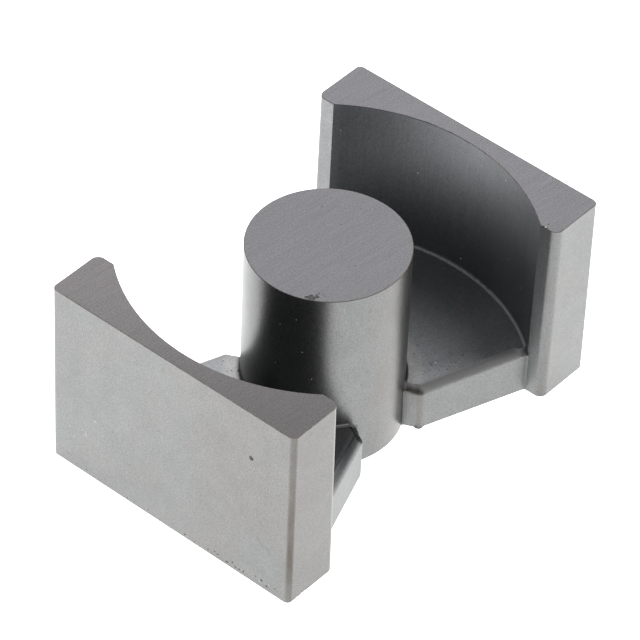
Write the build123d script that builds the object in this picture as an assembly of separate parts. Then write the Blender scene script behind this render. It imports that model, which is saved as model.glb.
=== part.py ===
from build123d import *
import math
import os

# One half of a PQ-type ferrite core: a single pressed, sintered and ground
# piece.  A round centre post and two outer legs stand on a back plate that is
# cut away on both open sides and flares from the post to the legs.
#
# Frame: origin at the middle of the flat underside, +Z up along the centre
# post, +X through the two legs, +Y towards one of the open sides where the
# winding's leads come out.  Millimetres.

# ---- driving dimensions -------------------------------------------------
length = 41.0             # over the outer faces of the two legs, along X
width = 27.81             # of the legs, along Y
height = 19.85            # underside to the ground pole faces

post_d = 14.88            # centre post diameter, from its foot up to the pole face
post_foot_d = 15.00       # the same at the underside, where the post's foot flares slightly
post_foot_h = 5.20        # height of that flared foot
window_d = 37.84          # diameter of the legs' concave faces at the pole faces
land_x = 14.62            # axis to the flat lands beside the concave faces, at the pole faces
wall_draft = 0.7          # degrees: concave faces and lands lean inwards going down

plate_t = 4.78            # back plate thickness
notch_half_deg = 26.0     # half the angle of each open side, measured from the Y axis
plate_corner_r = 9.10     # axis to the sharp plan corner of the plate
flank_deg = 20.0          # angle of the plate's long edge to the X axis
plate_corner_fillet = 0.60
plate_bevel = 0.55        # 45 degree bevel along the plate's free upper edges

leg_outer_fillet = 0.55   # upright outer corners of the legs
leg_inner_fillet = 0.80   # upright corners between the lands and the end faces
root_fillet = 0.30        # plate top to post and plate top to concave faces
seam_fillet = 0.22        # upright inside corners of the plate with post and lands

# ---- derived ------------------------------------------------------------
half_l = length / 2
half_w = width / 2
post_r = post_d / 2
window_r = window_d / 2
lean = math.tan(math.radians(wall_draft))   # how far a drafted wall moves in per mm of depth
land_x_low = land_x - height * lean         # the lands at the underside
notch_edge = math.radians(90.0 - notch_half_deg)
corner_x = plate_corner_r * math.cos(notch_edge)
corner_y = plate_corner_r * math.sin(notch_edge)

BOTTOM = (Align.CENTER, Align.CENTER, Align.MIN)


# ---- outer legs ---------------------------------------------------------
def make_leg():
    """The +X leg: a block cut on its inner side by two leaning lands and a
    conical bore about the post's axis, with its upright corners rounded."""
    start = land_x_low - 4.0
    block = Pos(start, 0, 0) * Box(half_l - start, width, height,
                                   align=(Align.MIN, Align.CENTER, Align.MIN))

    # everything nearer the axis than the leaning lands
    profile = Polyline((0, -1.0), (land_x_low - lean, -1.0),
                       (land_x + lean, height + 1.0), (0, height + 1.0), (0, -1.0))
    side = Plane.XZ * make_face(profile.edges())
    inner = extrude(side, width, both=True)
    body = block - inner

    # the concave face
    bore = Pos(0, 0, -1.0) * Cone(window_r - (height + 1.0) * lean, window_r + lean,
                                  height + 2.0, align=BOTTOM)
    body -= bore

    outer = [e for e in body.edges().filter_by(Axis.Z)
             if e.center().X > half_l - 0.01]
    body = fillet(outer, leg_outer_fillet)
    inner_corners = [e for e in body.edges()
                     if abs(abs(e.center().Y) - half_w) < 0.01
                     and e.center().X < land_x + 0.01
                     and e.bounding_box().size.Z > height - 0.1]
    return fillet(inner_corners, leg_inner_fillet)


# ---- back plate ---------------------------------------------------------
def make_wing():
    """The +X half of the back plate: short radial edges out of the post, a
    small round corner, then long straight edges that flare to the leg.  Its
    outer end is buried in the leg and its apex in the post."""
    end_x = half_l - 1.0
    end_y = corner_y + math.tan(math.radians(flank_deg)) * (end_x - corner_x)
    outline = Polyline((0, 0), (corner_x, -corner_y), (end_x, -end_y),
                       (end_x, end_y), (corner_x, corner_y), (0, 0))
    wing = extrude(make_face(outline.edges()), plate_t)
    corners = [e for e in wing.edges().filter_by(Axis.Z)
               if abs(e.center().X - corner_x) < 0.01]
    wing = fillet(corners, plate_corner_fillet)
    rim = [e for e in wing.edges()
           if abs(e.center().Z - plate_t) < 1e-3
           and e.bounding_box().size.Z < 1e-3
           and e.center().X < end_x - 0.1]
    return chamfer(rim, plate_bevel)


# ---- inside corners -----------------------------------------------------
def root_edges(solid):
    """Where the plate's top meets the post and the concave faces."""
    return [e for e in solid.edges()
            if e.geom_type == GeomType.CIRCLE
            and e.radius > 1.0
            and abs(e.center().Z - plate_t) < 1e-3
            and e.bounding_box().size.Z < 1e-3]


def seam_edges(solid):
    """Where the plate's upright sides meet the post and the lands."""
    found = []
    for e in solid.edges():
        c, s = e.center(), e.bounding_box().size
        if not plate_t - plate_bevel - 0.1 < s.Z < plate_t + 0.1 or max(s.X, s.Y) > 0.2:
            continue
        at_post = abs(math.hypot(c.X, c.Y) - post_r) < 0.08
        at_land = abs(abs(c.X) - land_x_low) < 0.2 and abs(abs(c.Y) - 12.0) < 0.3
        if at_post or at_land:
            found.append(e)
    return found


# ---- one solid ----------------------------------------------------------
post = (Cone(post_foot_d / 2, post_r, post_foot_h, align=BOTTOM)
        + Pos(0, 0, post_foot_h) * Cylinder(post_r, height - post_foot_h, align=BOTTOM))
leg = make_leg()
wing = make_wing()
core = post + leg + mirror(leg, Plane.YZ) + wing + mirror(wing, Plane.YZ)
core = fillet(root_edges(core), root_fillet)
core = fillet(seam_edges(core), seam_fillet)

assert len(core.solids()) == 1
core = core.solids()[0]
box = core.bounding_box()
print("volume mm3", round(core.volume, 1), "valid", core.is_valid)
print("box", [round(v, 3) for v in (*box.min, *box.max)])

os.makedirs("parts", exist_ok=True)
export_step(core, "parts/pq_core_half.step")
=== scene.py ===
import bpy, bmesh, math, random
from mathutils import Vector, Matrix, Euler, noise


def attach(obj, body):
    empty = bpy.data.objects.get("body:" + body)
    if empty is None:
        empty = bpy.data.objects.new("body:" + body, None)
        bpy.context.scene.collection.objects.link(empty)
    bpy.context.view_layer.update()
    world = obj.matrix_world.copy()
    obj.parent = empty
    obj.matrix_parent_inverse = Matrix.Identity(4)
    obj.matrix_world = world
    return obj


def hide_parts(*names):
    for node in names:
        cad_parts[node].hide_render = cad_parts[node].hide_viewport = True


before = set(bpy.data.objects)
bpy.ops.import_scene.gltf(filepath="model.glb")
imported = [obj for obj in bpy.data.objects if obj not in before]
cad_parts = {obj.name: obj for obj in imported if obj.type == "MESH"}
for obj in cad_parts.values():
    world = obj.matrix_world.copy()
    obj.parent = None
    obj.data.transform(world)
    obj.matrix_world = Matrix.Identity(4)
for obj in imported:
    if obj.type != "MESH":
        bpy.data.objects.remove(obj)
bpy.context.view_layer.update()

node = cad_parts["pq_core_half"]
scene = bpy.context.scene
scene.view_settings.view_transform = "Standard"
MM = 0.001

# lengths below are in millimetres unless a name says otherwise
HALF_L, HALF_W, HEIGHT = 20.5, 13.905, 19.85
POST_R, WINDOW_R, PLATE_T = 7.44, 18.92, 4.78


# ---- node helpers --------------------------------------------------------
def new_material(name):
    m = bpy.data.materials.new(name)
    m.use_nodes = True
    t = m.node_tree
    t.nodes.clear()
    out = t.nodes.new("ShaderNodeOutputMaterial")
    s = t.nodes.new("ShaderNodeBsdfPrincipled")
    t.links.new(s.outputs[0], out.inputs[0])
    return m, t, s


class Net:
    """Short names for the nodes of one tree.  A float or tuple is set on the
    socket itself, a socket is linked to it."""

    def __init__(self, tree):
        self.t = tree

    def put(self, socket, value):
        if isinstance(value, bpy.types.NodeSocket):
            self.t.links.new(value, socket)
        else:
            socket.default_value = value

    def math(self, op, a, b=0.0, c=None):
        n = self.t.nodes.new("ShaderNodeMath")
        n.operation = op
        self.put(n.inputs[0], a)
        self.put(n.inputs[1], b)
        if c is not None:
            self.put(n.inputs[2], c)
        return n.outputs[0]

    def ramp(self, x, lo, hi, a=0.0, b=1.0):
        n = self.t.nodes.new("ShaderNodeMapRange")
        n.interpolation_type = "SMOOTHSTEP"
        self.put(n.inputs["Value"], x)
        n.inputs["From Min"].default_value = lo
        n.inputs["From Max"].default_value = hi
        n.inputs["To Min"].default_value = a
        n.inputs["To Max"].default_value = b
        return n.outputs[0]

    def lin(self, x, lo, hi, a, b, clamp=False):
        n = self.t.nodes.new("ShaderNodeMapRange")
        n.clamp = clamp
        self.put(n.inputs["Value"], x)
        n.inputs["From Min"].default_value = lo
        n.inputs["From Max"].default_value = hi
        n.inputs["To Min"].default_value = a
        n.inputs["To Max"].default_value = b
        return n.outputs[0]

    def scale(self, vec, v):
        n = self.t.nodes.new("ShaderNodeVectorMath")
        n.operation = "MULTIPLY"
        self.put(n.inputs[0], vec)
        n.inputs[1].default_value = v
        return n.outputs[0]

    def noise(self, vec, scale, detail=2.0, rough=0.5, lac=2.0, distort=0.0):
        n = self.t.nodes.new("ShaderNodeTexNoise")
        self.put(n.inputs["Vector"], vec)
        n.inputs["Scale"].default_value = scale
        n.inputs["Detail"].default_value = detail
        n.inputs["Roughness"].default_value = rough
        n.inputs["Lacunarity"].default_value = lac
        n.inputs["Distortion"].default_value = distort
        return n.outputs[0]

    def split(self, vec):
        n = self.t.nodes.new("ShaderNodeSeparateXYZ")
        self.put(n.inputs[0], vec)
        return n.outputs[0], n.outputs[1], n.outputs[2]

    def join(self, x, y, z):
        n = self.t.nodes.new("ShaderNodeCombineXYZ")
        for i, v in enumerate((x, y, z)):
            self.put(n.inputs[i], v)
        return n.outputs[0]

    def mix(self, fac, a, b, mode="MIX"):
        n = self.t.nodes.new("ShaderNodeMix")
        n.data_type = "RGBA"
        n.blend_type = mode
        self.put(n.inputs[0], fac)
        self.put(n.inputs[6], a)
        self.put(n.inputs[7], b)
        return n.outputs[2]

    def bump(self, height, distance, strength=1.0, normal=None):
        n = self.t.nodes.new("ShaderNodeBump")
        n.inputs["Strength"].default_value = strength
        n.inputs["Distance"].default_value = distance
        self.put(n.inputs["Height"], height)
        if normal is not None:
            self.put(n.inputs["Normal"], normal)
        return n.outputs[0]

    def mul(self, *v):
        r = v[0]
        for x in v[1:]:
            r = self.math("MULTIPLY", r, x)
        return r

    def coords(self):
        """The piece's own coordinates, in millimetres."""
        n = self.t.nodes.new("ShaderNodeTexCoord")
        return self.scale(n.outputs["Object"], (1000.0, 1000.0, 1000.0))

    def dab(self, vec, centre, radius, soft=0.5):
        """1 inside a small ball about centre, 0 outside."""
        n = self.t.nodes.new("ShaderNodeVectorMath")
        n.operation = "DISTANCE"
        self.put(n.inputs[0], vec)
        n.inputs[1].default_value = centre
        return self.ramp(n.outputs["Value"], radius * (1 - soft), radius * (1 + soft), 1.0, 0.0)


# ---- as-fired skin -------------------------------------------------------
# dark, close-grained and semi-metallic: nearly all of its look is reflection
m, t, s = new_material("skin")
k = Net(t)
P = k.coords()
x, y, z = k.split(P)
ax, ay = k.math("ABSOLUTE", x), k.math("ABSOLUTE", y)
radius = k.math("SQRT", k.math("ADD", k.mul(x, x), k.mul(y, y)))

patch = k.noise(P, 0.30, 5.0, 0.62, distort=0.5)
mottle = k.noise(P, 1.3, 3.0, 0.6)
grain = k.noise(P, 6.2, 2.0, 0.7)
fine = k.noise(P, 13.0, 1.0, 0.5)
drawn = k.noise(k.scale(P, (4.5, 4.5, 0.22)), 1.0, 2.0, 0.6)

# marks of the press along the walls of the window, fainter on the post
outer_corner = k.ramp(k.math("ADD", ax, ay), 33.90, 34.09)
outer_zone = k.math("MAXIMUM", k.math("MAXIMUM", k.ramp(ax, 20.2, 20.4), k.ramp(ay, 13.7, 13.85)), outer_corner)
window_zone = k.mul(k.ramp(radius, 8.5, 9.5), k.math("SUBTRACT", 1.0, outer_zone))
post_zone = k.ramp(radius, 7.62, 7.52, 0.0, 1.0)
wall_zone = k.mul(window_zone, k.ramp(z, 4.5, 4.8), k.ramp(ay, 12.1, 11.7, 0.0, 1.0))
side_zone = k.mul(window_zone, k.ramp(z, 4.75, 4.3, 0.0, 1.0))
press = k.mul(k.math("SUBTRACT", drawn, 0.5), k.lin(window_zone, 0, 1, 0.25, 1.0), k.lin(side_zone, 0, 1, 1.0, 0.25))

level = k.mul(k.lin(patch, 0.3, 0.7, 0.955, 1.045), k.lin(mottle, 0.3, 0.7, 0.975, 1.025),
              k.lin(grain, 0.3, 0.7, 0.835, 1.165), k.lin(fine, 0.3, 0.7, 0.88, 1.12),
              k.lin(press, -0.2, 0.2, 0.955, 1.045))

# darker pinholes, thinly strewn
cell = t.nodes.new("ShaderNodeTexVoronoi")
cell.inputs["Scale"].default_value = 1.15
k.put(cell.inputs["Vector"], P)
cr, cg, cb = k.split(cell.outputs["Color"])
pin_size = k.lin(cg, 0.0, 1.0, 0.02, 0.055)
pin = k.mul(k.math("LESS_THAN", cell.outputs["Distance"], pin_size), k.math("GREATER_THAN", cr, 0.72))
# with the pinholes: the window wall painted darker towards its bottom, painted shade; the outer faces a little darker,
# and the post a little darker, more so towards its top
level = k.mul(level, k.lin(pin, 0.0, 1.0, 1.0, 0.66), k.lin(k.mul(wall_zone, k.ramp(z, 16.0, 10.0, 0.0, 1.0)), 0, 1, 1.0, 0.88),
              k.lin(outer_zone, 0, 1, 1.0, 0.97),
              k.lin(k.mul(post_zone, k.ramp(z, 7.0, 19.0)), 0, 1, 1.0, 0.93), k.lin(post_zone, 0, 1, 1.0, 0.93))

# painted light and shade on the outer face of the front leg: the whole face brighter, its right part darker, its low
# part brighter
front = k.ramp(x, -20.4, -20.3, 1.0, 0.0)
front_right = k.mul(front, k.ramp(y, 0.5, -8.0, 0.0, 1.0))
front_low_light = k.mul(front, k.ramp(z, 9.0, 2.0, 0.0, 1.0))
level = k.mul(level, k.lin(front, 0, 1, 1.0, 1.075), k.lin(front_right, 0, 1, 1.0, 0.945),
              k.lin(front_low_light, 0, 1, 1.0, 1.03))
# the end of the near side face, next to the front leg, a little darker
end_face = k.mul(k.ramp(y, -13.85, -13.80, 1.0, 0.0), k.ramp(x, -12.0, -11.0, 1.0, 0.0))
level = k.mul(level, k.lin(end_face, 0, 1, 1.0, 0.885))
near_side = k.mul(k.math("LESS_THAN", x, 0.0), k.math("LESS_THAN", y, 0.0))
leftward = k.math("SUBTRACT", k.mul(y, 0.776), k.mul(x, 0.630))
# painted shade on the post's lower left and, weaker, on its left side; painted shade on the window wall at its lower
# right and upper left; painted light on the back plate's top along the foot of the window wall
post_low_shade = k.mul(post_zone, k.ramp(z, 12.5, 6.2, 0.0, 1.0), k.ramp(leftward, 3.2, 4.8))
post_left_shade = k.mul(post_zone, k.ramp(leftward, 4.0, 7.0), k.ramp(z, 7.0, 9.0))
wall_right_shade = k.mul(wall_zone, k.ramp(x, 2.0, 3.0), k.ramp(y, -6.0, -9.5, 0.0, 1.0), k.ramp(z, 15.5, 11.0, 0.0, 1.0))
wall_left_shade = k.mul(wall_zone, k.ramp(x, 2.0, 3.0), k.ramp(y, 4.0, 9.0), k.ramp(z, 13.5, 18.0))
back_root_light = k.mul(k.ramp(x, 2.0, 3.0), k.ramp(z, 4.60, 4.75), k.ramp(z, 5.20, 5.10, 0.0, 1.0), k.ramp(radius, 14.5, 18.4),
                  k.ramp(radius, 18.79, 18.755, 0.0, 1.0))
level = k.mul(level, k.lin(post_low_shade, 0, 1, 1.0, 0.30), k.lin(post_left_shade, 0, 1, 1.0, 0.95), k.lin(back_root_light, 0, 1, 1.0, 1.5),
              k.lin(wall_right_shade, 0, 1, 1.0, 0.80), k.lin(wall_left_shade, 0, 1, 1.0, 0.93))


def plan_blob(px, py, full, gone):
    """1 round one place in plan, fading smoothly to 0."""
    d = k.math("SQRT", k.math("ADD", k.math("POWER", k.math("SUBTRACT", x, px), 2.0), k.math("POWER", k.math("SUBTRACT", y, py), 2.0)))
    return k.ramp(d, full, gone, 1.0, 0.0)


# painted light on the top of the far left plate, with painted shade at the root of the post there, and painted light on
# a land of the back leg
far_plate_light = k.mul(plan_blob(-6.2, 6.5, 2.6, 8.0), k.ramp(z, 5.1, 4.9, 0.0, 1.0), k.ramp(z, 4.4, 4.6, 0.0, 1.0), k.ramp(radius, 7.46, 7.50))
far_land_light = k.mul(k.ramp(x, 14.0, 14.2), k.ramp(x, 15.2, 15.0, 0.0, 1.0), k.ramp(y, 11.0, 11.8), k.ramp(z, 4.8, 5.2))
level = k.mul(level, k.lin(far_plate_light, 0, 1, 1.0, 1.38), k.lin(k.mul(far_plate_light, k.ramp(radius, 7.87, 7.72, 0.0, 1.0)), 0, 1, 1.0, 0.68), k.lin(far_land_light, 0, 1, 1.0, 1.19))

# brown along worn upright corners and on the plate's bevels
inner_corner = k.ramp(k.math("SUBTRACT", ay, k.math("ADD", ax, k.lin(z, 0.0, HEIGHT, HEIGHT * 0.0122, 0.0))), -1.62, -1.15)
inner_corner = k.mul(inner_corner, k.ramp(ay, 12.7, 13.0))
s26, c26 = math.sin(math.radians(26)), math.cos(math.radians(26))
s20, c20 = math.sin(math.radians(20)), math.cos(math.radians(20))
along_short = k.math("SUBTRACT", k.mul(ax, c26), k.mul(ay, s26))
high = k.ramp(z, 4.02, 4.40)
short_bevel = k.mul(k.ramp(along_short, 0.50, 0.14, 0.0, 1.0), k.ramp(along_short, -0.10, 0.10), k.ramp(radius, 9.5, 9.2, 0.0, 1.0),
                    k.ramp(z, 3.80, 4.25), k.ramp(z, 5.0, 4.9, 0.0, 1.0), k.ramp(radius, 7.60, 7.72))
bevel_end = k.mul(k.dab(k.join(ax, ay, z), (14.30, 11.75, 4.60), 0.31, 0.8), high)
short_side = k.mul(k.ramp(along_short, 0.25, 0.05, 0.0, 1.0), k.ramp(z, 4.4, 4.1, 0.0, 1.0), k.ramp(radius, 9.5, 9.2, 0.0, 1.0), k.ramp(radius, 7.52, 7.60))


def plan_dist(px, py):
    return k.math("SQRT", k.math("ADD", k.math("POWER", k.math("SUBTRACT", ax, px), 2.0), k.math("POWER", k.math("SUBTRACT", ay, py), 2.0)))


# painted shade in the upright inside corners of the plate, at the leg and at the post, and on the plate's short side
side_part = k.ramp(z, 4.75, 4.5, 0.0, 1.0)
at_leg, at_post = plan_dist(14.40, 11.97), plan_dist(3.288, 6.741)
level = k.mul(level, k.lin(k.mul(k.ramp(at_leg, 0.10, 0.16, 1.0, 0.0), side_part), 0, 1, 1.0, 0.75),
              k.lin(k.mul(k.ramp(at_leg, 0.10, 0.60, 1.0, 0.0), side_part), 0, 1, 1.0, 0.88),
              k.lin(k.mul(k.ramp(at_post, 0.12, 0.20, 1.0, 0.0), side_part), 0, 1, 1.0, 0.62),
              k.lin(k.mul(k.ramp(at_post, 0.15, 0.50, 1.0, 0.0), side_part), 0, 1, 1.0, 0.90),
              k.lin(short_side, 0, 1, 1.0, 0.92))
across_long = k.math("SUBTRACT", k.mul(k.math("SUBTRACT", ax, 3.989), s20), k.mul(k.math("SUBTRACT", ay, 8.179), c20))
long_bevel = k.mul(k.ramp(across_long, 1.05, 0.75, 0.0, 1.0), k.ramp(z, 4.0, 4.35), k.ramp(z, 5.0, 4.9, 0.0, 1.0),
                   k.ramp(radius, 7.6, 7.9, 0.0, 1.0), k.ramp(ax, 14.3, 14.1, 0.0, 1.0))
wander = k.noise(k.scale(P, (1.6, 1.6, 0.5)), 1.0, 3.0, 0.6)

# painted shade on the plate on the near left, behind the front leg: its top, the root of the post and the middle of its
# long edge darker, its short bevel almost black; the inner part of the long edge brighter, painted light
near_blob = plan_blob(-4.8, -7.0, 1.8, 5.5)
near_top_shade = k.mul(near_blob, k.ramp(z, 4.60, 4.75), k.ramp(z, 5.15, 5.0, 0.0, 1.0), k.ramp(radius, 7.70, 7.80))
near_root_shade = k.mul(near_blob, k.ramp(radius, 7.80, 7.72, 0.0, 1.0), k.ramp(radius, 7.47, 7.51), k.ramp(z, 4.74, 4.80), k.ramp(z, 4.99, 4.91, 0.0, 1.0))
near_short_shade = k.mul(near_side, k.ramp(along_short, 0.80, 0.55, 0.0, 1.0), k.ramp(z, 3.90, 4.20), k.ramp(z, 5.0, 4.9, 0.0, 1.0),
                   k.ramp(radius, 7.60, 7.72), k.ramp(radius, 9.5, 9.2, 0.0, 1.0))
near_edge = k.mul(near_side, k.ramp(z, 4.0, 4.3), k.ramp(z, 5.0, 4.9, 0.0, 1.0), k.ramp(radius, 7.6, 7.9), k.ramp(ax, 11.0, 6.5, 0.0, 1.0),
                  k.ramp(along_short, 0.3, 0.7))
near_mid_shade = k.mul(near_edge, k.ramp(across_long, 0.05, 0.36), k.ramp(across_long, 0.88, 0.62, 0.0, 1.0))
near_in_light = k.mul(near_edge, k.ramp(across_long, 0.66, 0.86), k.ramp(across_long, 1.25, 1.0, 0.0, 1.0))
# painted light and shade on the plate's +X, -Y quarter: the inner part of its long edge brighter, the middle of that
# edge darker
right_plate_zone = k.mul(k.math("GREATER_THAN", x, 0.0), k.math("LESS_THAN", y, 0.0), k.ramp(z, 4.3, 4.6), k.ramp(z, 5.0, 4.9, 0.0, 1.0), k.ramp(radius, 7.6, 8.4))
right_plate_light = k.mul(right_plate_zone, k.ramp(across_long, 2.8, 0.95, 0.0, 1.0), k.ramp(across_long, 0.74, 0.92), k.ramp(ax, 12.0, 10.0, 0.0, 1.0),
                k.ramp(ax, 4.0, 6.0, 0.35, 1.0))
right_plate_shade = k.mul(right_plate_zone, k.ramp(across_long, 0.92, 0.74, 0.0, 1.0), k.ramp(across_long, 0.35, 0.62), k.ramp(ax, 5.5, 8.0), k.ramp(ax, 13.5, 12.0, 0.0, 1.0))
level = k.mul(level, k.lin(right_plate_light, 0, 1, 1.0, 1.36), k.lin(right_plate_shade, 0, 1, 1.0, 0.92))
level = k.mul(level, k.lin(near_top_shade, 0, 1, 1.0, 0.85), k.lin(near_root_shade, 0, 1, 1.0, 0.45),
              k.lin(near_mid_shade, 0, 1, 1.0, 0.48), k.lin(near_in_light, 0, 1, 1.0, 1.4))

tint = k.noise(P, 0.22, 4.0, 0.6, distort=0.6)
body_col = k.mix(k.ramp(tint, 0.36, 0.64), (0.1790, 0.1852, 0.1840, 1), (0.1855, 0.1842, 0.1825, 1))
body_col = k.mix(window_zone, body_col, (0.1790, 0.1830, 0.1852, 1))
body_col = k.mix(side_zone, body_col, (0.1802, 0.1830, 0.1832, 1))
rightward = k.mul(leftward, -1.0)
warm = k.math("MAXIMUM", end_face, k.math("MAXIMUM", k.mul(front_right, 0.8), k.mul(post_zone, k.ramp(rightward, 3.0, 6.5))))
body_col = k.mix(warm, body_col, (0.1872, 0.1850, 0.1806, 1))
cool = k.mul(front, k.ramp(k.math("SQRT", k.math("ADD", k.math("POWER", k.math("ADD", y, 10.8), 2.0), k.math("POWER", k.math("SUBTRACT", z, 3.0), 2.0))),
                           0.8, 4.2, 1.0, 0.0))
body_col = k.mix(k.mul(cool, 0.9), body_col, (0.1785, 0.1862, 0.1848, 1))
body_col = k.mix(k.mul(wall_zone, 0.7), body_col, (0.1720, 0.1790, 0.1890, 1))
plate_corner = k.mul(k.ramp(k.math("SQRT", k.math("ADD", k.math("POWER", k.math("SUBTRACT", ax, 3.99), 2.0),
                                                  k.math("POWER", k.math("SUBTRACT", ay, 8.18), 2.0))), 0.10, 0.55, 1.0, 0.0),
                     k.ramp(z, 4.5, 4.1, 0.0, 1.0))
col = k.mix(1.0, body_col, k.join(level, level, level), "MULTIPLY")
near_corner = k.lin(near_side, 0, 1, 0.40, 1.0)
brown = k.math("ADD", k.mul(k.math("SUBTRACT", ax, 19.95), k.lin(z, 0.0, HEIGHT, 0.6018, 0.690)),
               k.mul(k.math("SUBTRACT", ay, 13.355), k.lin(z, 0.0, HEIGHT, 0.7986, 0.724)))
brown = k.math("POWER", k.ramp(brown, 0.361, 0.544), 1.5)
brown = k.mul(brown, near_corner, k.ramp(z, 0.0, 4.5, 0.45, 1.0), k.ramp(z, 6.0, 18.5, 0.86, 0.56))
corner_fac = k.math("MAXIMUM", brown, k.mul(inner_corner, k.lin(z, 0.0, HEIGHT, 0.28, 0.20)))
corner_fac = k.mul(corner_fac, k.lin(wander, 0.3, 0.7, 0.78, 1.08))
col = k.mix(corner_fac, col, (0.086, 0.075, 0.063, 1))
col = k.mix(k.mul(plate_corner, k.math("SUBTRACT", 1.0, near_side), 0.40), col, (0.125, 0.115, 0.100, 1))
col = k.mix(k.mul(long_bevel, k.math("SUBTRACT", 1.0, near_side), 0.6), col, (0.188, 0.183, 0.179, 1))
col = k.mix(k.mul(bevel_end, 0.5), col, (0.040, 0.033, 0.028, 1))
col = k.mix(k.mul(short_bevel, k.lin(wander, 0.3, 0.7, 0.80, 1.0)), col, (0.052, 0.043, 0.036, 1))
# the short bevel on the near side painted almost black, painted shade
col = k.mix(near_short_shade, col, (0.023, 0.023, 0.024, 1))

# a few faint marks: a warm stain on the post, a spot under the rim of the
# front leg, soft rubs low on the outer face
stain = k.dab(k.scale(k.join(x, k.math("ADD", y, 7.41), k.math("SUBTRACT", z, 8.8)), (1.0, 1.0, 0.28)), (-0.67, 0.0, 0.0), 0.65, 0.8)
col = k.mix(k.mul(stain, 0.20), col, (0.150, 0.118, 0.088, 1))
spot = k.dab(P, (-18.36, -13.905, 19.15), 0.30, 0.5)
col = k.mix(k.mul(spot, 0.22), col, (0.09, 0.085, 0.085, 1))
DARK, LIGHT, WARM = (0.10, 0.10, 0.10, 1), (0.60, 0.60, 0.60, 1), (0.200, 0.184, 0.172, 1)
for a, b, wide, tone, much in (((-10.18, 5.81), (-10.83, 5.10), 0.16, DARK, 0.36), ((-10.83, 5.10), (-11.35, 5.09), 0.20, DARK, 0.26),
                               ((-11.35, 5.09), (-11.76, 4.76), 0.15, DARK, 0.40), ((-9.87, 4.62), (-10.46, 4.29), 0.18, DARK, 0.18),
                               ((-1.25, 7.36), (-1.95, 7.21), 0.10, DARK, 0.20), ((12.16, 1.12), (11.61, 1.05), 0.11, DARK, 0.48),
                               ((1.11, 18.10), (0.72, 18.62), 0.14, DARK, 0.20), ((1.95, 18.12), (1.78, 18.16), 0.16, DARK, 0.12),
                               ((0.30, 19.02), (-2.10, 18.80), 0.45, WARM, 0.45), ((9.97, 4.92), (9.73, 4.71), 0.07, LIGHT, 0.32),
                               ((8.79, 7.14), (8.75, 7.11), 0.12, LIGHT, 0.42), ((11.85, 4.58), (11.82, 4.56), 0.10, LIGHT, 0.34),
                               ((11.26, 3.69), (11.21, 3.66), 0.11, LIGHT, 0.34)):
    # distance to a short slanting stroke on the outer face
    dy, dz = b[0] - a[0], b[1] - a[1]
    ln = math.hypot(dy, dz)
    u = k.math("ADD", k.mul(k.math("SUBTRACT", y, a[0]), dy / ln), k.mul(k.math("SUBTRACT", z, a[1]), dz / ln))
    v = k.math("SUBTRACT", k.mul(k.math("SUBTRACT", y, a[0]), dz / ln), k.mul(k.math("SUBTRACT", z, a[1]), dy / ln))
    stroke = k.mul(k.ramp(k.math("ABSOLUTE", v), 0.2 * wide, wide, 1.0, 0.0), k.ramp(u, -wide, 0.3 * wide),
                   k.ramp(u, ln - 0.3 * wide, ln + wide, 1.0, 0.0), front)
    col = k.mix(k.mul(stroke, much), col, tone)
k.put(s.inputs["Base Color"], col)

rough = k.lin(k.math("MAXIMUM", post_zone, outer_zone), 0, 1, 0.415, 0.33)
rough = k.math("ADD", rough, k.lin(grain, 0.3, 0.7, -0.02, 0.02))
rough = k.math("ADD", rough, k.lin(patch, 0.3, 0.7, 0.015, -0.015))
rough = k.math("ADD", rough, k.mul(k.math("MAXIMUM", short_bevel, corner_fac), 0.10))
rough = k.math("SUBTRACT", rough, k.mul(window_zone, k.ramp(z, 4.95, 5.2), k.ramp(z, 12.0, 5.5, 0.0, 1.0), 0.045))
k.put(s.inputs["Roughness"], rough)
s.inputs["Metallic"].default_value = 1.0
s.inputs["IOR"].default_value = 1.5
b1 = k.bump(k.math("ADD", k.mul(grain, 0.7), k.mul(fine, 0.3)), 0.006 * MM)
b2 = k.bump(press, 0.004 * MM, 1.0, b1)
k.put(s.inputs["Normal"], k.bump(mottle, 0.006 * MM, 1.0, b2))

# ---- ground pole faces ---------------------------------------------------
g, t2, s2 = new_material("ground")
k = Net(t2)
P = k.coords()
x, y, z = k.split(P)
LAY = math.radians(172.0)
u = k.math("ADD", k.mul(x, math.cos(LAY)), k.mul(y, math.sin(LAY)))
v = k.math("SUBTRACT", k.mul(y, math.cos(LAY)), k.mul(x, math.sin(LAY)))
lines = k.noise(k.join(k.mul(u, 0.26), k.mul(v, 6.0), 0.0), 1.0, 3.0, 0.75)
bands = k.noise(k.join(k.mul(u, 0.05), k.mul(v, 1.3), 3.0), 1.0, 2.0, 0.6)
mottle2 = k.noise(P, 0.9, 4.0, 0.6)
grain2 = k.noise(P, 7.0, 2.0, 0.7)
cell2 = t2.nodes.new("ShaderNodeTexVoronoi")
cell2.inputs["Scale"].default_value = 1.4
k.put(cell2.inputs["Vector"], P)
cr2, cg2, cb2 = k.split(cell2.outputs["Color"])
pore = k.mul(k.ramp(k.math("SUBTRACT", cell2.outputs["Distance"], k.lin(cg2, 0, 1, 0.02, 0.07)), 0.0, 0.03, 1.0, 0.0),
             k.math("GREATER_THAN", cr2, 0.74))
level2 = k.mul(k.lin(lines, 0.3, 0.7, 0.875, 1.125), k.lin(bands, 0.3, 0.7, 0.975, 1.025),
               k.lin(mottle2, 0.3, 0.7, 0.965, 1.035), k.lin(grain2, 0.3, 0.7, 0.77, 1.23),
               k.lin(pore, 0, 1, 1.0, 0.78))
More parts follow.
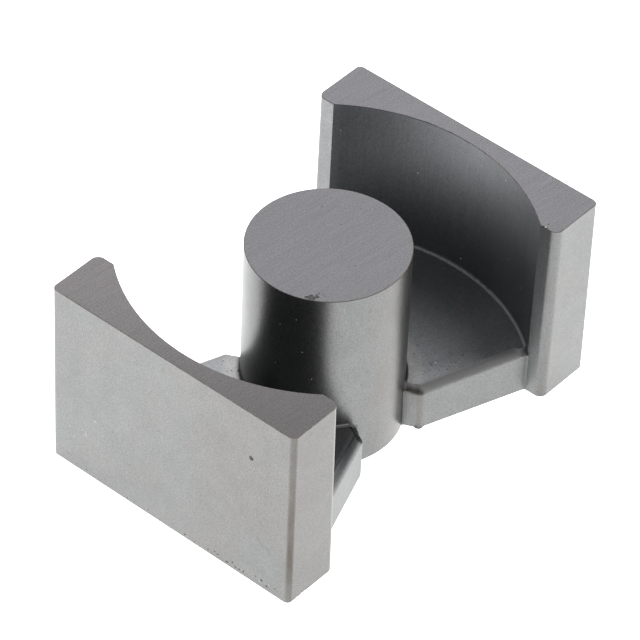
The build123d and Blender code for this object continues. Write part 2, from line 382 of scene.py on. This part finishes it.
# the pole faces painted darker towards the outer corner of the front leg, painted shade, and a little lighter on the
# back leg, painted light
ahead = k.math("ADD", k.mul(x, 0.776), k.mul(y, 0.630))
level2 = k.mul(level2, k.ramp(ahead, -24.5, -4.0, 0.66, 1.0), k.ramp(ahead, 2.0, 18.0, 1.0, 1.06))
g_col = k.mix(k.ramp(mottle2, 0.35, 0.65), (0.1752, 0.1740, 0.1856, 1), (0.1784, 0.1742, 0.1818, 1))
g_col = k.mix(k.ramp(x, -11.0, -13.0, 0.0, 1.0), g_col, (0.1815, 0.1728, 0.1752, 1))
k.put(s2.inputs["Base Color"], k.mix(1.0, g_col, k.join(level2, level2, level2), "MULTIPLY"))
k.put(s2.inputs["Roughness"], k.math("ADD", k.lin(mottle2, 0.3, 0.7, 0.53, 0.58), k.lin(lines, 0.3, 0.7, -0.02, 0.02)))
s2.inputs["Metallic"].default_value = 1.0
gb = k.bump(lines, 0.004 * MM)
k.put(s2.inputs["Normal"], k.bump(grain2, 0.005 * MM, 1.0, gb))

# ---- crumbled edges ------------------------------------------------------
e_m, t3, s3 = new_material("worn_edge")
k = Net(t3)
P = k.coords()
n1, n2 = k.noise(P, 2.2, 3.0, 0.6), k.noise(P, 11.0, 2.0, 0.6)
e_col = k.mix(k.ramp(n1, 0.38, 0.62), (0.098, 0.084, 0.075, 1), (0.150, 0.140, 0.135, 1))
ex, ey, ez = k.split(P)
e_rad = k.math("SQRT", k.math("ADD", k.mul(ex, ex), k.mul(ey, ey)))
e_post = k.ramp(e_rad, 8.5, 8.0, 0.0, 1.0)
e_col = k.mix(k.mul(k.ramp(ex, 10.0, 11.0), k.ramp(ey, -3.0, 2.0)), e_col, (0.098, 0.096, 0.104, 1))
e_col = k.mix(k.ramp(ex, -10.0, -11.0, 0.0, 1.0), e_col, k.mix(k.ramp(n1, 0.38, 0.62), (0.128, 0.113, 0.102, 1), (0.165, 0.155, 0.148, 1)))
e_col = k.mix(k.mul(e_post, k.ramp(ex, 1.0, -1.0, 0.0, 1.0)), e_col, (0.092, 0.086, 0.083, 1))
e_col = k.mix(k.mul(e_post, k.ramp(ex, -1.0, 1.0)), e_col, (0.125, 0.102, 0.084, 1))
e_lvl = k.lin(n2, 0.3, 0.7, 0.75, 1.2)
k.put(s3.inputs["Base Color"], k.mix(1.0, e_col, k.join(e_lvl, e_lvl, e_lvl), "MULTIPLY"))
k.put(s3.inputs["Roughness"], k.lin(n2, 0.3, 0.7, 0.42, 0.58))
s3.inputs["Metallic"].default_value = 0.9
k.put(s3.inputs["Normal"], k.bump(n2, 0.02 * MM))

# ---- broken ferrite inside chips and pits --------------------------------
f_m, t4, s4 = new_material("fracture")
k = Net(t4)
P = k.coords()
n1, n2 = k.noise(P, 4.0, 3.0, 0.6), k.noise(P, 22.0, 2.0, 0.6)
f_col = k.mix(k.ramp(n1, 0.38, 0.62), (0.045, 0.038, 0.035, 1), (0.105, 0.090, 0.082, 1))
f_lvl = k.lin(n2, 0.3, 0.7, 0.6, 1.4)
k.put(s4.inputs["Base Color"], k.mix(1.0, f_col, k.join(f_lvl, f_lvl, f_lvl), "MULTIPLY"))
k.put(s4.inputs["Roughness"], k.lin(n2, 0.3, 0.7, 0.55, 0.8))
s4.inputs["Metallic"].default_value = 0.5
k.put(s4.inputs["Normal"], k.bump(n2, 0.03 * MM))

# ---- shallow chips: the same stone, dull and a little darker ----------------
c_m, t7, s7 = new_material("chip_floor")
k = Net(t7)
P = k.coords()
n1, n2 = k.noise(P, 3.0, 3.0, 0.6), k.noise(P, 13.0, 2.0, 0.6)
c_col = k.mix(k.ramp(n1, 0.36, 0.64), (0.088, 0.083, 0.085, 1), (0.124, 0.119, 0.121, 1))
cx, cy, cz = k.split(P)
# chips low on the part painted lighter, painted light against the shade inside them; chips near the top painted darker
c_lvl = k.mul(k.lin(n2, 0.3, 0.7, 0.80, 1.20), k.ramp(cz, 2.0, 1.0, 1.0, 1.18), k.ramp(cz, 18.5, 19.2, 1.0, 0.80))
k.put(s7.inputs["Base Color"], k.mix(1.0, c_col, k.join(c_lvl, c_lvl, c_lvl), "MULTIPLY"))
k.put(s7.inputs["Roughness"], k.lin(n2, 0.3, 0.7, 0.52, 0.68))
s7.inputs["Metallic"].default_value = 0.9
k.put(s7.inputs["Normal"], k.bump(n2, 0.015 * MM))

# ---- pale flecks and one rusty speck -------------------------------------
w_m, t5, s5 = new_material("pale_fleck")
k = Net(t5)
n1 = k.noise(k.coords(), 14.0, 2.0, 0.6)
k.put(s5.inputs["Base Color"], k.mix(k.ramp(n1, 0.35, 0.65), (0.46, 0.46, 0.45, 1), (0.78, 0.78, 0.76, 1)))
k.put(s5.inputs["Roughness"], k.lin(n1, 0.3, 0.7, 0.45, 0.65))
s5.inputs["Metallic"].default_value = 0.0
r_m, t6, s6 = new_material("rusty_speck")
k = Net(t6)
n1 = k.noise(k.coords(), 14.0, 2.0, 0.6)
k.put(s6.inputs["Base Color"], k.mix(k.ramp(n1, 0.35, 0.65), (0.20, 0.085, 0.03, 1), (0.34, 0.16, 0.06, 1)))
k.put(s6.inputs["Roughness"], k.lin(n1, 0.3, 0.7, 0.6, 0.8))
s6.inputs["Metallic"].default_value = 0.0
SKIN, GROUND, EDGE, BROKEN, PALE, RUST, CHIP = range(7)
MATERIALS = [m, g, e_m, f_m, w_m, r_m, c_m]

# ---- the core: the true outline with its edges rounded as they are -------
bm = bmesh.new()
bm.from_mesh(node.data)
bmesh.ops.remove_doubles(bm, verts=bm.verts, dist=1e-7)
bmesh.ops.dissolve_limit(bm, angle_limit=math.radians(0.2), use_dissolve_boundaries=False,
                         verts=bm.verts, edges=bm.edges, delimit=set())
for f in bm.faces:
    f.material_index = GROUND if f.normal.z > 0.99 and f.calc_center_median().z > 19.8 * MM else SKIN


def leaks(b, label):
    """Say how many edges of a mesh don't have two faces; 0 is a closed skin."""
    print("skin", label, "faces", len(b.faces), "open edges", sum(1 for e in b.edges if len(e.link_faces) != 2),
          "volume mm3", round(b.calc_volume() / MM ** 3, 3))


def rim(edge, z_at, up):
    if len(edge.link_faces) != 2 or any(abs(v.co.z - z_at * MM) > 1e-6 for v in edge.verts):
        return False
    nz = sorted(f.normal.z * up for f in edge.link_faces)
    return nz[1] > 0.99 and nz[0] < 0.5


def rail(edges):
    """Places along a set of edges: ends, the way off the part, length."""
    out = []
    for e in edges:
        n = (e.link_faces[0].normal + e.link_faces[1].normal).normalized()
        out.append((e.verts[0].co / MM, e.verts[1].co / MM, n, e.calc_length() / MM))
    return out


top_edges = [e for e in bm.edges if rim(e, HEIGHT, 1)]
low_edges = [e for e in bm.edges if rim(e, 0.0, -1)]
top_rail, low_rail = rail(top_edges), rail(low_edges)

top_edges = [e for e in bm.edges if rim(e, HEIGHT, 1)]
bmesh.ops.bevel(bm, geom=top_edges, offset=0.06 * MM, offset_type="OFFSET", segments=2, profile=0.5,
                affect="EDGES", clamp_overlap=False, material=EDGE, loop_slide=False)
bmesh.ops.bevel(bm, geom=[e for e in bm.edges if rim(e, 0.0, -1)], offset=0.06 * MM, offset_type="OFFSET", segments=2,
                profile=0.5, affect="EDGES", clamp_overlap=False, material=SKIN, loop_slide=False)
bmesh.ops.remove_doubles(bm, verts=bm.verts, dist=1e-7)
leaks(bm, "outline")
body_mesh = bpy.data.meshes.new("core_body")
bm.to_mesh(body_mesh)
bm.free()
for mat in MATERIALS:
    body_mesh.materials.append(mat)
body = bpy.data.objects.new("core_body", body_mesh)
scene.collection.objects.link(body)


# ---- chips and pits ------------------------------------------------------
rnd = random.Random(41)


def blob(target, centre, radii, material, spin=None, rough=0.28, subdiv=2, arc=None, ball=None):
    """Add one lumpy ball to target.  radii are along its own axes, spin turns
    them about Z, and arc bends the first axis round the post's axis."""
    tmp = bmesh.new()
    bmesh.ops.create_icosphere(tmp, subdivisions=subdiv, radius=1.0)
    seed = Vector((rnd.uniform(-50, 50), rnd.uniform(-50, 50), rnd.uniform(-50, 50)))
    turn = Euler((rnd.uniform(0, 6.28), rnd.uniform(0, 6.28), rnd.uniform(0, 6.28))).to_matrix()
    c = Vector(centre)
    for vt in tmp.verts:
        d = turn @ vt.co
        d = d * (1.0 + rough * noise.noise(d * 1.3 + seed) + 0.5 * rough * noise.noise(d * 3.1 + seed))
        p = Vector((d.x * radii[0], d.y * radii[1], d.z * radii[2]))
        if arc is not None:
            a0 = math.atan2(c.y, c.x) + p.x / arc
            rr = math.hypot(c.x, c.y) + p.y
            p = Vector((rr * math.cos(a0), rr * math.sin(a0), c.z + p.z))
        else:
            if spin is not None:
                p = (spin if isinstance(spin, Matrix) else Matrix.Rotation(spin, 3, "Z")) @ p
            p = c + p
        vt.co = p * MM
    vmap = [target.verts.new(vt.co) for vt in tmp.verts]
    tmp.verts.index_update()
    for f in tmp.faces:
        nf = target.faces.new([vmap[vt.index] for vt in f.verts])
        nf.material_index = material
        nf.smooth = True
    tmp.free()


# cutters that overlap go on different layers, which are taken off in turn
LAYERS = [(bmesh.new(), []) for _ in range(5)]


def pit(centre, radii, material=BROKEN, **kw):
    if isinstance(radii, (int, float)):
        radii = (radii, radii, radii)
    c, r = Vector(centre), max(radii)
    for tool, taken in LAYERS:
        if all((c - q).length > (r + s_) * 1.3 for q, s_ in taken):
            taken.append((c, r))
            blob(tool, centre, radii, material, **kw)
            return


# the plate's free upper edges are round, not sharp: a swept tool takes the
# sharpness off both sides of the bevel and fades out before post and leg
SIN, COS = math.sin, math.cos
TURN = math.radians(22.0)
KNEE = Vector((9.10 * COS(math.radians(64)), 9.10 * SIN(math.radians(64))))
CORNER_R = 0.60


def section(w0, h0, mid, n=9):
    """Inset and depth along a rounded edge, from the side up to the top."""
    q = math.log(0.5) / math.log(1.0 - mid / (w0 + h0))
    out = []
    for i in range(n + 1):
        a = math.pi / 2 * i / n
        out.append((w0 * (1.0 - COS(a) ** (2.0 / q)), h0 * (1.0 - SIN(a) ** (2.0 / q))))
    out[0], out[-1] = (-0.004, out[0][1]), (out[-1][0], -0.004)
    return [(-0.35, out[0][1])] + out + [(out[-1][0], -0.20), (-0.35, -0.20)]


def rounding_tool(tool, sx, sy):
    d_short = Vector((COS(math.radians(64)), SIN(math.radians(64))))
    d_long = Vector((COS(math.radians(20)), SIN(math.radians(20))))
    n_short, n_long = Vector((-d_short.y, d_short.x)), Vector((-d_long.y, d_long.x))
    tang = CORNER_R * math.tan(TURN)
    centre = KNEE - d_short * tang - n_short * CORNER_R
    stations = []
    for t in (1.24, 1.10, 0.95, 0.75, 0.5, 0.3):
        fade = min(1.0, (1.24 - t) / 0.40)
        stations.append((n_short, -d_short, t, fade))
    for i in range(7):
        f = i / 6.0
        stations.append(((n_short * (1 - f) + n_long * f).normalized(), None, 0.0, 1.0))
    for t in (0.3, 0.5, 0.9, 2.0, 4.0, 6.0, 8.0, 9.4, 10.1, 10.45, 10.72):
        fade = min(1.0, (10.72 - t) / 0.60)
        stations.append((n_long, d_long, t, fade))
    loops = []
    for n, d, t, fade in stations:
        far = 0.0 if d is not d_long else min(1.0, t / 9.0)
        w0, h0 = 0.66 + 0.30 * far, 0.80
        w0, h0 = 0.50 + (w0 - 0.50) * fade, 0.50 + (h0 - 0.50) * fade
        mid = 0.49 * (1 - fade) + 0.585 * fade
        loop = []
        for w, depth in section(w0, h0, mid):
            if d is None:
                p = centre + n * (CORNER_R - w) if w < CORNER_R - 0.01 else None
                if p is None:
                    bis = ((n_short + n_long) / 2).normalized()
                    p = KNEE - bis * (w / COS(TURN))
            else:
                p = KNEE + d * max(t, w * math.tan(TURN)) - n * w
            loop.append(tool.verts.new(Vector((sx * p.x, sy * p.y, PLATE_T - depth)) * MM))
        loops.append(loop)
    for la, lb in zip(loops, loops[1:]):
        for j in range(len(la)):
            jj = (j + 1) % len(la)
            tool.faces.new((la[j], la[jj], lb[jj], lb[j])).material_index = SKIN
    tool.faces.new(loops[0])
    tool.faces.new(list(reversed(loops[-1])))


rounder = bmesh.new()
for sx in (1, -1):
    for sy in (1, -1):
        rounding_tool(rounder, sx, sy)
bmesh.ops.remove_doubles(rounder, verts=rounder.verts, dist=1e-7)
bmesh.ops.dissolve_degenerate(rounder, edges=rounder.edges, dist=1e-7)


# outer face of the front leg
pit((-20.54, -9.265, 14.70), (0.13, 0.25, 0.275), CHIP, subdiv=3, rough=0.16)
pit((-20.53, -9.03, 15.27), 0.05, CHIP)
pit((-20.53, 6.63, 7.26), 0.07, CHIP)
for yy, zz, a, b in ((-1.95, 0.43, .13, .09), (-4.65, 0.49, .10, .08), (-5.41, 0.74, .10, .08), (-5.77, 0.61, .12, .07),
                     (-6.87, 0.45, .20, .10), (-7.47, 0.80, .09, .12), (-7.86, 0.48, .12, .09),
                     (-8.27, 0.47, .12, .09), (-8.76, 0.56, .10, .13), (-10.16, 0.95, .09, .07), (-10.84, 0.93, .16, .12),
                     (-11.43, 0.60, .14, .12), (-12.37, 0.92, .10, .08), (-3.1, 0.30, .07, .05), (2.4, 0.55, .07, .06),
                     (4.9, 0.35, .08, .05), (9.8, 0.5, .07, .06), (-0.6, 0.8, .06, .05)):
    pit((-20.54, yy, zz), (0.10, a, b), CHIP)
for yy, zz, a, b in ((-10.62, 0.62, .095, .085), (-11.66, 0.88, .080, .070), (-8.60, 0.62, .060, .090), (-2.28, 0.42, .075, .065),
                     (-11.72, 0.55, .060, .050)):
    pit((-20.54, yy, zz), (0.10, a, b), PALE, rough=0.15)
# along the bottom edge of the front leg
for xx in (-19.22, -18.62, -18.24):
    pit((xx, -13.93, 0.02), (0.20, 0.11, 0.12))
for yy in (-12.9, -9.4, -6.1, -3.9, 0.8, 5.2, 8.9):
    pit((-20.53, yy, 0.0), (0.09, rnd.uniform(.12, .24), 0.08))

# rim of the post's pole face
pit((-6.28, -3.38, 19.925), (0.52, 0.42, 0.125), CHIP, arc=7.14, subdiv=4, rough=0.34)
pit((-5.83, -3.62, 19.885), (0.22, 0.16, 0.07), CHIP, spin=math.radians(10), subdiv=3, rough=0.40)
pit((-5.79, -3.78, 19.85), (0.17, 0.075, 0.10), CHIP, spin=math.radians(-18))
pit((-5.58, -3.50, 19.86), (0.10, 0.060, 0.05), CHIP, spin=math.radians(26))
pit((-5.36, -3.55, 19.86), (0.11, 0.055, 0.05), CHIP, spin=math.radians(16))
pit((-5.22, -3.92, 19.86), (0.07, 0.05, 0.04), CHIP)
pit((-5.28, -4.18, 19.86), (0.08, 0.05, 0.04), CHIP)
for px, py, r in ((2.725, 0.878, .06), (5.434, 0.973, .06), (2.473, 2.794, .05), (-2.441, -1.264, .05),
                  (-0.513, -3.471, .06), (0.65, -0.661, .05), (-2.707, -2.813, .05), (-1.015, -3.214, .045), (3.38, 3.68, .07)):
    pit((px, py, 19.865), (r, r, r * 0.7), CHIP)
pit((-1.04, 7.42, 19.88), (0.36, 0.12, 0.10), arc=POST_R)
pit((1.6, 7.36, 19.88), (0.20, 0.09, 0.07), arc=POST_R)

# pole face of the back leg: the crumbled place beside its land, the worn arc
pit((14.63, -12.42, 19.92), (0.13, 0.42, 0.16), BROKEN, subdiv=3, rough=0.35)
pit((14.77, -12.50, 19.84), (0.10, 0.11, 0.10), PALE, rough=0.2)
pit((15.17, -12.47, 19.87), (0.12, 0.07, 0.04))
pit((18.47, 4.05, 19.87), (1.25, 0.09, 0.07), arc=18.92, rough=0.2, subdiv=3)
pit((18.85, 1.65, 19.87), (0.80, 0.06, 0.05), arc=18.92, rough=0.2, subdiv=3)

# +X plate
for px, py, r in ((7.10, -6.70, .09), (7.60, -8.21, .09), (6.55, -5.55, .06), (6.0, -6.9, .05), (8.15, -6.95, .05)):
    pit((px, py, PLATE_T + 0.3 * r), (r, r, r * 0.8))
for px, py, r in ((5.95, -5.27, .066), (7.57, -6.85, .070)):
    pit((px, py, PLATE_T + 0.3 * r), (r, r * 0.8, r * 0.6), PALE, rough=0.15)
pit((14.65, -4.15, PLATE_T + 0.03), (0.11, 0.09, 0.07), RUST, rough=0.2)
# -X plate
pit((-5.65, 5.92, PLATE_T + 0.03), (0.065, 0.085, 0.08))
pit((-5.31, 5.42, 4.86), (0.12, 0.10, 0.12))

# pale dust on the walls of the window and of the post
for px, py, pz, r in ((18.233, 4.722, 13.641, .055), (18.16, -5.246, 18.742, .06), (18.743, -0.451, 6.005, .045),
                      (17.563, -6.719, 10.525, .04), (16.356, -9.237, 9.424, .04), (15.047, 11.395, 16.866, .045),
                      (-6.889, 2.79, 12.4, .035), (-7.019, -2.466, 17.2, .04), (-7.374, -0.961, 16.0, .03),
                      (-6.766, -3.087, 13.571, .035), (-7.408, -0.629, 11.2, .035), (-6.328, -3.907, 10.557, .04),
                      (-5.946, -4.472, 15.479, .03)):
    pit((px, py, pz), (r, r, r), PALE, rough=0.15)
for px, py, r in ((17.289, -4.082, .05), (17.772, 0.651, .05)):
    pit((px, py, PLATE_T + 0.3 * r), (r, r, r * 0.6), PALE, rough=0.15)

# pores strewn over the plate's tops, thicker towards the outer corners
for sx in (1, -1):
    for sy in (1, -1):
        want = {(1, -1): 60, (-1, 1): 12}.get((sx, sy), 16)
        made = 0
        while made < want:
            px, py = rnd.uniform(4.2, 14.0), rnd.uniform(0.4, 11.0)
            if math.hypot(px, py) < 8.2:
                continue
            if math.sin(math.radians(20)) * (px - 3.989) - math.cos(math.radians(20)) * (py - 8.179) < 0.85:
                continue
            if rnd.random() > math.exp(-((px - 6.6) ** 2 + (py - 7.0) ** 2) / 14.0) + 0.06:
                continue
            r = rnd.uniform(0.038, 0.068)
            pit((sx * px, sy * py, PLATE_T + 0.25 * r), (r, r, r))
            made += 1

# crumbs lost from the pole-face rims and from the bottom outline
for rails, count, lo, hi in ((top_rail, 90, 0.035, 0.075), (low_rail, 80, 0.04, 0.10)):
    total = sum(e[3] for e in rails)
    for _ in range(count):
        at = rnd.uniform(0, total)
        for a, b, n, ln in rails:
            if at <= ln:
                break
            at -= ln
        p = a.lerp(b, min(max(at / max(ln, 1e-9), 0.0), 1.0))
        r = rnd.uniform(lo, hi)
        stretch = rnd.uniform(1.0, 2.6)
        d = (b - a).normalized()
        side = n.cross(d).normalized()
        turn = Matrix((d, side, n)).transposed()
        pit(p + n * (0.35 * r), (r * stretch, r, r), spin=turn)

# the pressed burr at the foot of one plate corner: a low skirt that spreads
# outwards over its last half millimetre
add = bmesh.new()
rings = []
for i in range(6):
    f = i / 5.0
    zz = 0.06 + 0.62 * f
    rr = 0.46 - 0.20 * f ** 0.7
    rings.append([add.verts.new(Vector((4.20 + rr * math.cos(a), -7.93 + rr * math.sin(a), zz)) * MM)
                  for a in (math.tau * j / 24 for j in range(24))])
foot = [add.verts.new(Vector((4.20 + 0.44 * math.cos(a), -7.93 + 0.44 * math.sin(a), 0.0)) * MM)
        for a in (math.tau * j / 24 for j in range(24))]
rings.insert(0, foot)
for lo_r, hi_r in zip(rings, rings[1:]):
    for j in range(24):
        add.faces.new((lo_r[j], lo_r[(j + 1) % 24], hi_r[(j + 1) % 24], hi_r[j]))
add.faces.new(rings[-1])
add.faces.new(list(reversed(rings[0])))


def as_object(b, name):
    bmesh.ops.recalc_face_normals(b, faces=b.faces)
    leaks(b, name)
    me = bpy.data.meshes.new(name)
    b.to_mesh(me)
    b.free()
    for mat in MATERIALS:
        me.materials.append(mat)
    o = bpy.data.objects.new(name, me)
    scene.collection.objects.link(o)
    return o


steps = [("DIFFERENCE", as_object(rounder, "rounder")), ("UNION", as_object(add, "burr"))]
steps += [("DIFFERENCE", as_object(tool, "pits")) for tool, taken in LAYERS if taken]
for op, other in steps:
    mod = body.modifiers.new("op", "BOOLEAN")
    mod.operation = op
    mod.solver = "EXACT"
    mod.object = other
    dg = bpy.context.evaluated_depsgraph_get()
    dg.update()
    done = bpy.data.meshes.new_from_object(body.evaluated_get(dg))
    body.modifiers.clear()
    bm = bmesh.new()
    bm.from_mesh(done)
    bmesh.ops.remove_doubles(bm, verts=bm.verts, dist=1e-7)
    bmesh.ops.dissolve_degenerate(bm, edges=bm.edges, dist=1e-7)
    leaks(bm, "after " + other.name)
    bm.to_mesh(done)
    bm.free()
    old = body.data
    body.data = done
    bpy.data.meshes.remove(old)
for op, o in steps:
    md = o.data
    bpy.data.objects.remove(o)
    bpy.data.meshes.remove(md)
body.data.name = "core_body"

bm = bmesh.new()
bm.from_mesh(body.data)
# one closed skin: anything that isn't joined to it goes
left, parts = set(bm.faces), []
while left:
    part, todo = set(), [left.pop()]
    while todo:
        f = todo.pop()
        part.add(f)
        for e in f.edges:
            for g_ in e.link_faces:
                if g_ in left:
                    left.discard(g_)
                    todo.append(g_)
    parts.append(part)
parts.sort(key=len)
if parts[:-1]:
    bmesh.ops.delete(bm, geom=[f for part in parts[:-1] for f in part], context="FACES")
print("loose parts taken away", len(parts) - 1)
leaks(bm, "core_body")

# shading normals: exact on the flats and on the turned walls, blended on the
# small roundings, broken at sharp edges and round every chip
LEAN = math.tan(math.radians(0.7))
c07, s07 = math.cos(math.radians(0.7)), math.sin(math.radians(0.7))
flats = [((1, 0, 0), HALF_L), ((-1, 0, 0), HALF_L), ((0, 1, 0), HALF_W), ((0, -1, 0), HALF_W),
         ((0, 0, 1), HEIGHT), ((0, 0, 1), PLATE_T), ((0, 0, -1), 0.0)]
for sx in (1, -1):
    flats.append(((-sx * c07, 0, s07), -14.62 * c07 + HEIGHT * s07))
    for sy in (1, -1):
        for nx, ny, d in ((-sx * s20, sy * c20, 8.1790 * c20 - 3.9892 * s20), (-sx * c26, sy * s26, 0.0)):
            flats.append(((nx, ny, 0), d))
            flats.append(((nx * math.sqrt(0.5), ny * math.sqrt(0.5), math.sqrt(0.5)), math.sqrt(0.5) * (d + PLATE_T - 0.55)))
flats = [(Vector(n), d) for n, d in flats]


def flat_of(face):
    c = face.calc_center_median() / MM
    for i, (n, d) in enumerate(flats):
        if face.normal.dot(n) > 0.99999 and abs(c.dot(n) - d) < 0.01:
            return i
    return -1


def turned(p):
    """Exact normals of the round surfaces that pass through p."""
    r = math.hypot(p.x, p.y)
    out = []
    if r < 7.6:
        if p.z > 5.15 and abs(r - POST_R) < 0.03:
            out.append(Vector((p.x / r, p.y / r, 0.0)))
        if p.z < 5.25 and abs(r - (7.5 - 0.06 * p.z / 5.2)) < 0.03:
            out.append(Vector((p.x / r, p.y / r, 0.01154)).normalized())
    if p.z > 4.9 and abs(r - (WINDOW_R - (HEIGHT - p.z) * LEAN)) < 0.03:
        out.append(Vector((-p.x / r, -p.y / r, LEAN)).normalized())
    ex, ey = abs(p.x) - (HALF_L - 0.55), abs(p.y) - (HALF_W - 0.55)
    er = math.hypot(ex, ey)
    if ex > 0 and ey > 0 and abs(er - 0.55) < 0.012:
        out.append(Vector((math.copysign(ex, p.x) / er, math.copysign(ey, p.y) / er, 0.0)))
    return out


bm.normal_update()
LOOSE = (BROKEN, PALE, RUST, CHIP)
bm.faces.ensure_lookup_table()
flat_id = [flat_of(f) for f in bm.faces]
areas = [f.calc_area() for f in bm.faces]
bm.faces.index_update()
for e in bm.edges:
    fs_ = e.link_faces
    if len(fs_) != 2:
        e.smooth = False
        continue
    odd = (fs_[0].material_index in LOOSE) != (fs_[1].material_index in LOOSE)
    e.smooth = not odd and fs_[0].normal.angle(fs_[1].normal, 0.0) < math.radians(32)
corner_normal = {}
for vt in bm.verts:
    left = {f.index: f for f in vt.link_faces}
    links = {}
    for e in vt.link_edges:
        if e.smooth and len(e.link_faces) == 2:
            a, b = e.link_faces[0].index, e.link_faces[1].index
            links.setdefault(a, []).append(b)
            links.setdefault(b, []).append(a)
    while left:
        start, _ = left.popitem()
        fan, todo = [start], [start]
        while todo:
            for nb in links.get(todo.pop(), ()):
                if nb in left:
                    left.pop(nb)
                    fan.append(nb)
                    todo.append(nb)
        flat = max((i for i in fan if flat_id[i] >= 0), key=lambda i: areas[i], default=None)
        n = Vector((0, 0, 0))
        for i in fan:
            n += bm.faces[i].normal * areas[i]
        if n.length < 1e-20:
            n = bm.faces[fan[0]].normal.copy()
        n.normalize()
        if flat is not None:
            n = flats[flat_id[flat]][0]
        elif bm.faces[fan[0]].material_index not in LOOSE:
            for cand in turned(vt.co / MM):
                if cand.dot(n) > math.cos(math.radians(7)):
                    n = cand
                    break
        for i in fan:
            corner_normal[(i, vt.index)] = n
for f in bm.faces:
    f.smooth = True
bm.to_mesh(body.data)
bm.free()
me = body.data
me.normals_split_custom_set([tuple(corner_normal[(p.index, me.loops[li].vertex_index)]) for p in me.polygons
                             for li in p.loop_indices])
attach(body, "root")
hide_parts("pq_core_half")

# ---- floor, light, camera ------------------------------------------------
bm = bmesh.new()
bmesh.ops.create_grid(bm, x_segments=1, y_segments=1, size=1.5)
floor_mesh = bpy.data.meshes.new("floor")
bm.to_mesh(floor_mesh); bm.free()
floor = bpy.data.objects.new("floor", floor_mesh)
scene.collection.objects.link(floor)
fm, ft, fs = new_material("floor_white")
k = Net(ft)
fx, fy, fz = k.split(ft.nodes.new("ShaderNodeTexCoord").outputs["Object"])
from_part = k.math("SQRT", k.math("ADD", k.mul(fx, fx), k.mul(fy, fy)))
fs.inputs["Base Color"].default_value = (0.5, 0.5, 0.5, 1)
fs.inputs["Roughness"].default_value = 1.0
fs.inputs["Specular IOR Level"].default_value = 0.0
fs.inputs["Emission Color"].default_value = (1, 1, 1, 1)
k.put(fs.inputs["Emission Strength"], k.ramp(from_part, 0.04, 0.12, 1.8, 2.3))
floor_mesh.materials.append(fm)

# a big soft light box over the part: brightest behind it, seen from the
# camera's side, dim to the left
world = bpy.data.worlds.new("tent")
world.use_nodes = True
wt = world.node_tree
wt.nodes.clear()
w_out = wt.nodes.new("ShaderNodeOutputWorld")
w_bg = wt.nodes.new("ShaderNodeBackground")
wt.links.new(w_bg.outputs[0], w_out.inputs[0])
k = Net(wt)
dx, dy, dz = k.split(wt.nodes.new("ShaderNodeTexCoord").outputs["Generated"])
nrm = wt.nodes.new("ShaderNodeVectorMath")
nrm.operation = "NORMALIZE"
k.put(nrm.inputs[0], k.join(dx, dy, 0.0))
hx, hy, _ = k.split(nrm.outputs[0])
FX, FY = 0.7764, 0.6303
low_w = k.ramp(dz, 0.30, 0.60, 1.0, 0.0)
high_w = k.ramp(dz, 0.60, 0.85)
mid_w = k.math("SUBTRACT", 1.0, k.math("ADD", low_w, high_w))
total = None
for (lx, ly), (lo_v, mid_v, hi_v) in (((FX, FY), (1.42, 2.35, 2.53)), ((-FY, FX), (0.38, 0.05, 0.28)),
                                      ((-FX, -FY), (0.95, 1.0, 0.95)), ((FY, -FX), (0.83, 0.63, 0.75))):
    toward = k.math("MAXIMUM", k.math("ADD", k.mul(hx, lx), k.mul(hy, ly)), 0.0)
    v = k.math("ADD", k.math("ADD", k.mul(low_w, lo_v), k.mul(mid_w, mid_v)), k.mul(high_w, hi_v))
    v = k.mul(toward, toward, v)
    total = v if total is None else k.math("ADD", total, v)
w_bg.inputs[0].default_value = (1, 1, 1, 1)
k.put(w_bg.inputs[1], total)
scene.world = world

cam_data = bpy.data.cameras.new("camera")
cam_data.sensor_width = 36.0
cam_data.lens = 262.55187
cam_data.clip_start = 0.01
cam_data.clip_end = 10.0
cam = bpy.data.objects.new("camera", cam_data)
cam.location = (-0.23557487, -0.19067179, 0.29239851)
cam.rotation_euler = Euler((math.radians(47.07434571), math.radians(-1.88994794), math.radians(-49.17086999)), "XYZ")
scene.collection.objects.link(cam)
scene.camera = cam
